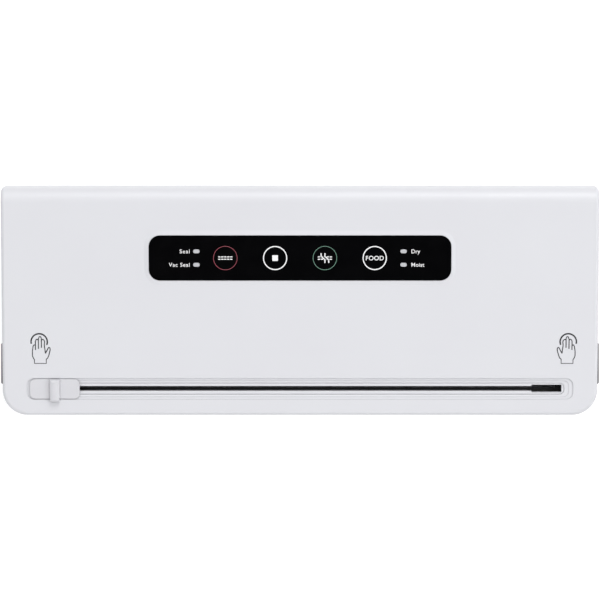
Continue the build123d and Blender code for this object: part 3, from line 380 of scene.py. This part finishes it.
def latchSpring(side):
    look = springLook
    node = side + "_latch_spring"
    low, high = (Vector(corner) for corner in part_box(node))
    run = high.x - low.x - 2 * look["wire"]
    coil = (high.z - low.z) / 2 - look["wire"]
    bpy.ops.mesh.primitive_circle_add(vertices=look["wireSides"], radius=look["wire"])
    spring = named(side + "_coil_spring")
    editAll(spring)
    bpy.ops.transform.rotate(value=math.pi / 2, orient_axis="X", center_override=(0, 0, 0))
    bpy.ops.transform.translate(value=(-run / 2, 0, coil))
    leaveEdit()
    finishWith(spring, "SCREW", axis="X", screw_offset=run / look["turns"], iterations=look["turns"],
               steps=look["turnSteps"], render_steps=look["turnSteps"], use_smooth_shade=True)
    editAll(spring)
    bpy.ops.mesh.fill_holes(sides=0)
    bpy.ops.mesh.normals_make_consistent(inside=False)
    leaveEdit()
    spring.data.transform(Matrix.Translation((low + high) / 2))
    wear(spring, finishes["steel"])
    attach(spring, side + "_release")
    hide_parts(node)
    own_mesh(spring)


latchSpring("left")
latchSpring("right")
print("latch springs coiled")

# key rings and signs

inkSink = 0.02 * mm  # the print is sunk this far, so that it never floats
inkRise = 0.06 * mm
inkThick = inkSink + inkRise

ringLook = {
    "cap": 7.9 * mm,  # the key's radius
    "edge": 0.25 * mm,  # bare rim outside the ring
    "around": 96,
    "across": 12,
}
keyLooks = {
    "seal_key": dict(ink="red", band=0.38 * mm),
    "stop_key": dict(ink="white", band=0.68 * mm),
    "vacuum_key": dict(ink="green", band=0.38 * mm),
    "food_key": dict(ink="white", band=0.68 * mm),
}


def keyPlace(key):
    return middle(key, lidRight), middle(key, lidBack), reach(key, lidUp)[1]


def keyRing(key, band):
    bpy.ops.mesh.primitive_torus_add(major_radius=ringLook["cap"] - ringLook["edge"] - band / 2, minor_radius=band / 2,
                                     major_segments=ringLook["around"], minor_segments=ringLook["across"])
    ring = named(key + "_ring")
    editAll(ring)
    bpy.ops.transform.resize(value=(1, 1, 2 * inkRise / band))
    leaveEdit()
    bpy.ops.object.shade_smooth()
    layOnLid(ring, *keyPlace(key))
    return ring


signLook = {
    "corner": 0.25, "cornerSteps": 3,  # a bar's rounding, as a share of its narrower side
    "dash": (1.45 * mm, 0.62 * mm), "dashPitch": 1.88 * mm, "dashRows": 1.5 * mm,
    "square": 3.6 * mm, "squareCorner": 0.08,
    "prong": (0.68 * mm, 2.6 * mm), "prongEnd": 3.1 * mm, "prongPitch": 2.4 * mm,
    "link": (0.68 * mm, 2.9 * mm), "linkTurn": 52,
    "foodCap": 2.75 * mm, "foodBold": 0.015, "foodSpread": 1.05,
}


def inkBar(right, back, length, width, turn=0.0, corner=signLook["corner"]):
    bpy.ops.mesh.primitive_cube_add(size=1)
    bar = named("bar")
    editAll(bar)
    bpy.ops.transform.resize(value=(length, width, inkThick))
    bpy.ops.mesh.select_all(action="DESELECT")
    leaveEdit()
    for edge in bar.data.edges:
        a, b = (bar.data.vertices[i].co for i in edge.vertices)
        edge.select = abs((a - b).z) > inkThick / 2
    bpy.ops.object.mode_set(mode="EDIT")
    bpy.ops.mesh.select_mode(type="EDGE")
    bpy.ops.mesh.bevel(offset=corner * min(length, width), segments=signLook["cornerSteps"])
    leaveEdit()
    lift = Matrix.Translation((right, back, (inkRise - inkSink) / 2))
    bar.data.transform(lift @ Matrix.Rotation(turn, 4, "Z"))
    return bar


def dashRow(places):
    return [inkBar(x, side * signLook["dashRows"] / 2, *signLook["dash"]) for x in places for side in (-1, 1)]


def sealSign():  # a double row of dashes: the weld across a bag
    return dashRow([i * signLook["dashPitch"] for i in range(-2, 3)])


def stopSign():
    return [inkBar(0, 0, signLook["square"], signLook["square"], corner=signLook["squareCorner"])]


def vacuumSign():  # the weld, with two streams of air drawn down through it
    bars = dashRow([side * i * signLook["dashPitch"] for side in (-1, 1) for i in (1, 2)])
    prongBack = signLook["prongEnd"] - signLook["prong"][1] / 2
    halfPitch = signLook["prongPitch"] / 2
    for stream in (-halfPitch, halfPitch):
        for end in (-1, 1):
            bars.append(inkBar(stream - end * halfPitch, end * prongBack, *signLook["prong"]))
        bars.append(inkBar(stream, 0, *signLook["link"], turn=math.radians(signLook["linkTurn"])))
    return bars


letterLook = {"capShare": 0.69, "curveSteps": 4}  # the capitals' share of the type's size


def lettering(name, words, capHeight, align, bold, spread):  # the words' near edge, or middle, is at the origin
    bpy.ops.object.text_add()
    text = named(name)
    text.data.body = words
    text.data.align_x = align
    text.data.size = capHeight / letterLook["capShare"]
    text.data.offset = bold * capHeight
    text.data.space_character = spread
    text.data.extrude = inkThick / 2
    text.data.resolution_u = letterLook["curveSteps"]
    bpy.ops.object.convert(target="MESH")
    text = named(name)
    text.data.transform(Matrix.Translation((0, -capHeight / 2, (inkRise - inkSink) / 2)))
    return text


def foodSign():
    return [lettering("food", "FOOD", signLook["foodCap"], "CENTER", signLook["foodBold"], signLook["foodSpread"])]


signs = {"seal_key": sealSign, "stop_key": stopSign, "vacuum_key": vacuumSign, "food_key": foodSign}
for key, look in keyLooks.items():
    ring = keyRing(key, look["band"])
    wear(ring, inks[look["ink"]])
    sign = joined(key + "_sign", signs[key]())
    layOnLid(sign, *keyPlace(key))
    wear(sign, inks["white"])
    for piece in (ring, sign):
        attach(piece, key)
print("key rings and signs made")

# words beside the lamps

lampLook = {"rows": 8.5 * mm, "cap": 2.45 * mm, "bold": 0.008, "left": -69.4 * mm, "right": 70.0 * mm}
lampWords = [
    dict(name="seal_word", words="Seal", align="RIGHT", right=lampLook["left"], row=1, spread=1.18),
    dict(name="vacuum_seal_word", words="Vac Seal", align="RIGHT", right=lampLook["left"], row=-1, spread=1.12),
    dict(name="dry_word", words="Dry", align="LEFT", right=lampLook["right"], row=1, spread=1.02),
    dict(name="moist_word", words="Moist", align="LEFT", right=lampLook["right"], row=-1, spread=1.04),
]
for look in lampWords:
    word = lettering(look["name"], look["words"], lampLook["cap"], look["align"], lampLook["bold"], look["spread"])
    layOnLid(word, look["right"], panelBack + look["row"] * lampLook["rows"] / 2, panelHeight)
    wear(word, inks["white"])
    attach(word, "lid")
print("lamp words made")

# press-here hands printed on the lid's front corners

handLook = {
    "line": 0.66 * mm,
    "separator": 0.68 * mm,
    "lineSteps": 2,  # facets of a line's rounded back
    "arcLine": 1.0 * mm,
    "arcRadius": 5.15 * mm,
    "arcSpan": (-22, 194),
    "arcSteps": 40,
    "front": 26.2 * mm,  # plan distance of the arc's middle in front of the lid's middle
    "left": -165.0 * mm,
    "right": 169.7 * mm,
}
# an open hand, in mm from the middle of the arc over its fingertips
palm = [(-3.8, -2.5), (-4.35, -5.8), (-4.35, -9.0), (-3.6, -10.8), (-3.1, -11.3), (-3.1, -13.8), (4.4, -13.8),
        (4.4, -11.1), (5.2, -10.5), (6.0, -8.7), (6.5, -6.9), (7.0, -4.9)]
thumb = [(7.0, -4.9), (6.3, -3.6), (5.2, -5.0), (3.9, -7.4)]
firstFinger = [(3.9, -7.4), (3.6, -4.9), (3.25, -2.2), (3.2, 0.6), (2.3, 1.5), (1.4, 1.0)]
fingertips = [[(-3.8, -2.5), (-3.1, -2.0), (-2.4, -2.5)], [(-2.4, 0.4), (-1.45, 1.6), (-0.5, 1.0)],
              [(-0.5, 1.9), (0.5, 3.3), (1.4, 2.3)]]
separators = [(-2.4, 0.4, -5.2), (-0.5, 1.9, -4.5), (1.4, 2.3, -3.8)]  # across, from, to


def inMm(points):
    return [(x * mm, y * mm) for x, y in points]


def stroke(name, points, line, smooth=False):  # a flat line of ink along the points
    curve = bpy.data.curves.new(name, "CURVE")
    curve.dimensions = "3D"
    curve.bevel_depth = line / 2
    curve.bevel_resolution = handLook["lineSteps"]
    curve.use_fill_caps = True
    spline = curve.splines.new("BEZIER" if smooth else "POLY")
    knots = spline.bezier_points if smooth else spline.points
    knots.add(len(points) - 1)
    for knot, (x, y) in zip(knots, points):
        knot.co = (x, y, 0) if smooth else (x, y, 0, 1)
        if smooth:
            knot.handle_left_type = knot.handle_right_type = "AUTO"
    drawn = bpy.data.objects.new(name, curve)
    bpy.context.scene.collection.objects.link(drawn)
    bpy.ops.object.select_all(action="DESELECT")
    drawn.select_set(True)
    bpy.context.view_layer.objects.active = drawn
    bpy.ops.object.convert(target="MESH")
    drawn = named(name)
    drawn.data.transform(Matrix.Scale(2 * inkRise / line, 4, (0, 0, 1)))
    return drawn


def handMark(name, right, mirrored):
    look = handLook
    strokes = [stroke("palm", inMm(palm), look["line"])]
    strokes += [stroke("finger", inMm(path), look["line"], True) for path in [thumb, firstFinger] + fingertips]
    strokes += [stroke("separator", inMm([(x, top), (x, foot)]), look["separator"]) for x, top, foot in separators]
    low, high = (math.radians(a) for a in look["arcSpan"])
    angles = [low + (high - low) * i / look["arcSteps"] for i in range(look["arcSteps"] + 1)]
    arc = [(look["arcRadius"] * math.cos(a), look["arcRadius"] * math.sin(a)) for a in angles]
    strokes.append(stroke("arc", arc, look["arcLine"]))
    mark = joined(name, strokes)
    if mirrored:
        mark.data.transform(Matrix.Scale(-1, 4, (1, 0, 0)))
        mark.data.flip_normals()
    # the plan distance, turned into a distance along the slope
    back = (-look["front"] * lidBack.y) + (lidHeight / lidUp.z - look["front"] * lidBack.z / lidBack.y) * lidBack.z
    layOnLid(mark, right, back, lidHeight)
    wear(mark, inks["black"])
    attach(mark, "lid")


handMark("left_hand_mark", handLook["left"], mirrored=False)
handMark("right_hand_mark", handLook["right"], mirrored=True)
print("hand marks made")

# floor, light and camera

floorLook = {  # a white sweep lit a little from beneath
    "size": 8.0, "colours": ("#c6c6c6", "#cbcbcb"), "rough": 0.9, "fleckScale": 6.0, "fleckDetail": 2,
    "glow": 0.54, "glowColour": "#ffffff",
}
bpy.ops.mesh.primitive_plane_add(size=floorLook["size"])
floor = named("floor")
# matt paper: almost even, with the faintest flecks
paper, tree, shader, place = newFinish("paper_floor", Roughness=floorLook["rough"], Emission_Strength=floorLook["glow"],
                                         Emission_Color=linear(floorLook["glowColour"]))
fleck = addNode(tree, "ShaderNodeTexNoise", {"Vector": place, "Scale": floorLook["fleckScale"],
                                             "Detail": floorLook["fleckDetail"]})
tintBetween(tree, shader, fleck.outputs["Fac"], *floorLook["colours"])
wear(floor, paper)

# a light tent, bright all round but for the dark lens opening that the black panel mirrors to the camera
mirroredRay = 2 * lidUp.z * lidUp - Vector((0, 0, 1))
tentLook = {
    "colour": "#f9f9fb", "bright": 0.94, "dark": 0.02,
    "openFrom": 15, "openTo": 24,  # degrees off the mirrored ray
    "horizon": 0.12, "fullFrom": 0.65,  # share of the brightness low down, and the height where it is full
}
world = bpy.data.worlds.new("light_tent")
bpy.context.scene.world = world
world.use_nodes = True
sky = world.node_tree
aim = addNode(sky, "ShaderNodeTexCoord").outputs["Generated"]
height = addNode(sky, "ShaderNodeSeparateXYZ", {"Vector": aim}).outputs["Z"]
rise = addNode(sky, "ShaderNodeMapRange", {"Value": height, "From Max": tentLook["fullFrom"],
                                           "To Min": tentLook["horizon"]})
near = addNode(sky, "ShaderNodeVectorMath", {0: aim, 1: mirroredRay}, operation="DOT_PRODUCT").outputs["Value"]
fall = addNode(sky, "ShaderNodeMapRange", {"Value": near, "From Min": math.cos(math.radians(tentLook["openTo"])),
                                           "From Max": math.cos(math.radians(tentLook["openFrom"])),
                                           "To Min": tentLook["bright"], "To Max": tentLook["dark"]})
both = addNode(sky, "ShaderNodeMath", {0: rise.outputs["Result"], 1: fall.outputs["Result"]}, operation="MULTIPLY")
sky.nodes["Background"].inputs["Color"].default_value = linear(tentLook["colour"])
sky.links.new(both.outputs["Value"], sky.nodes["Background"].inputs["Strength"])

lightLook = [
    dict(name="rear_softbox", place=(0.3, 1.9, 1.75), size=1.2, power=28),
    dict(name="right_softbox", place=(3.0, 0.1, 2.5), size=2.4, power=39),
    dict(name="front_softbox", place=(-0.3, -1.9, 2.4), size=2.2, power=25),
]
for look in lightLook:
    bpy.ops.object.light_add(type="AREA", location=look["place"])
    lamp = bpy.context.object
    lamp.name = look["name"]
    lamp.data.shape = "DISK"
    lamp.data.size = look["size"]
    lamp.data.energy = look["power"]
    lamp.rotation_euler = (-Vector(look["place"])).to_track_quat("-Z", "Y").to_euler()

# plain film response, so that the white of the paper and the black of the panel stay what they are
bpy.context.scene.view_settings.view_transform = "Standard"

cameraLook = {
    "height": 2.1, "back": 0.25 * mm,
    "frameWide": 0.3783, "level": 0.07,  # width of the picture at the lid's level
    "sensor": 36,
}
bpy.ops.object.camera_add(location=(0, cameraLook["back"], cameraLook["height"]), rotation=(0, 0, 0))
camera = bpy.context.object
camera.data.sensor_width = cameraLook["sensor"]
camera.data.lens = cameraLook["sensor"] * (cameraLook["height"] - cameraLook["level"]) / cameraLook["frameWide"]
bpy.context.scene.camera = camera
print("floor, light and camera set")
